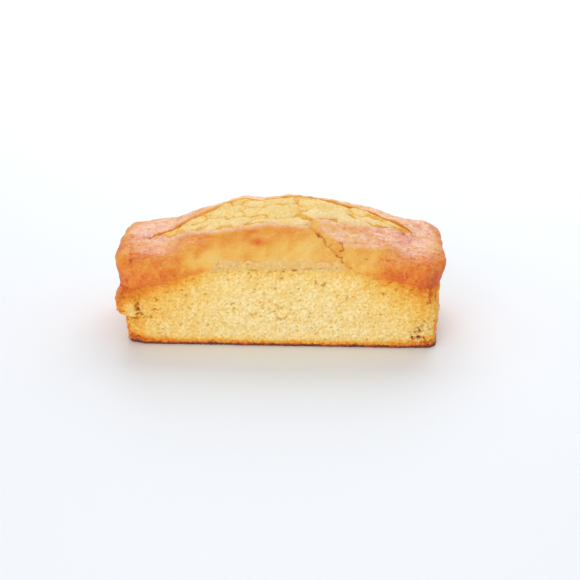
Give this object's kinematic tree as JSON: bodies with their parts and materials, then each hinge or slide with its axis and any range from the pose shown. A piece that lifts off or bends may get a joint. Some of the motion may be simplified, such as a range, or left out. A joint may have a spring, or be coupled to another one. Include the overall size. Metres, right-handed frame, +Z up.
{
  "type": "pound cake loaf",
  "caption": "Whole loaf-shaped pound cake with a domed golden crown split along its length, pale fine crumb on its long sides and a thin brown base crust.",
  "frame": {"origin": "middle of the underside, at the middle of the loaf's length and width", "axes": "+X along the loaf's length towards the chipped end, -Y towards the side with the oblique crack in its crust, +Z up"},
  "size_m": [0.2032, 0.1002, 0.0796],
  "materials": {
    "golden_crust": "satin",
    "pale_crumb": "matte",
    "brown_base_crust": "matte"
  },
  "bodies": {
    "root": {"pound_cake_loaf": "golden_crust"}
  },
  "joints": []
}
